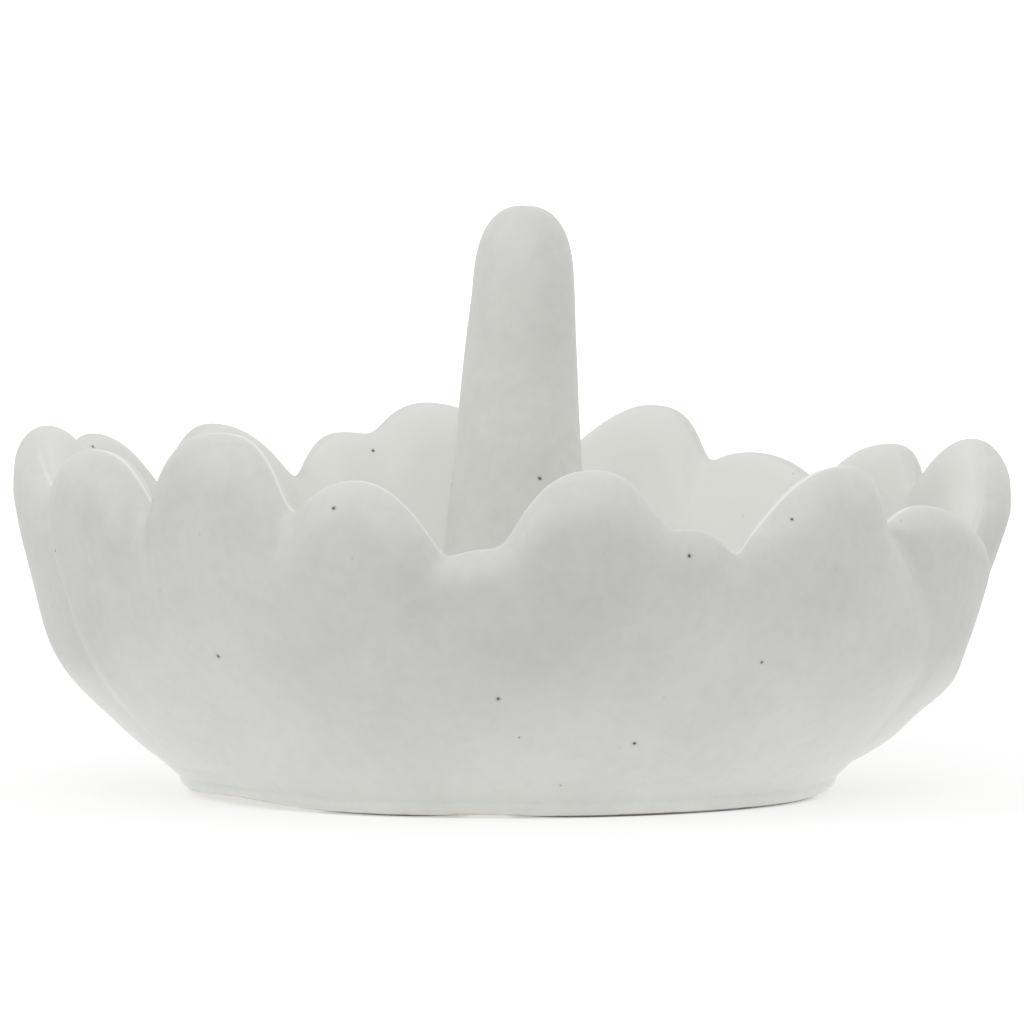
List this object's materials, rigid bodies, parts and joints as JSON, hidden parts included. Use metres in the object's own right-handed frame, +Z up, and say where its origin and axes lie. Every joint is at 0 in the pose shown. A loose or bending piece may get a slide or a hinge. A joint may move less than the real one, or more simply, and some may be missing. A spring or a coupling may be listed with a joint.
{
  "type": "ring dish",
  "caption": "Small round stoneware ring dish with an irregular petal rim, a shallow foot and a leaning tapered post in the middle for rings.",
  "frame": {"origin": "middle of the dish's footprint, on the table plane", "axes": "+Z up, -Y towards the viewer of the picture, +X to that viewer's right, which is the way the ring post leans"},
  "size_m": [0.1148, 0.1137, 0.0675],
  "materials": {
    "glaze": "satin off-white grey glaze over stoneware, with small dark iron specks",
    "foot": "the same satin glaze on its sides, wiped back to bare pale stoneware on the face that it stands on"
  },
  "bodies": {
    "root": {"foot_ring": "foot", "bowl": "glaze", "ring_post": "glaze", "petal_01": "glaze", "petal_02": "glaze", "petal_03": "glaze", "petal_04": "glaze", "petal_05": "glaze", "petal_06": "glaze", "petal_07": "glaze", "petal_08": "glaze", "petal_09": "glaze", "petal_10": "glaze", "petal_11": "glaze", "petal_12": "glaze", "petal_13": "glaze", "petal_14": "glaze", "petal_15": "glaze", "petal_16": "glaze"}
  },
  "joints": []
}
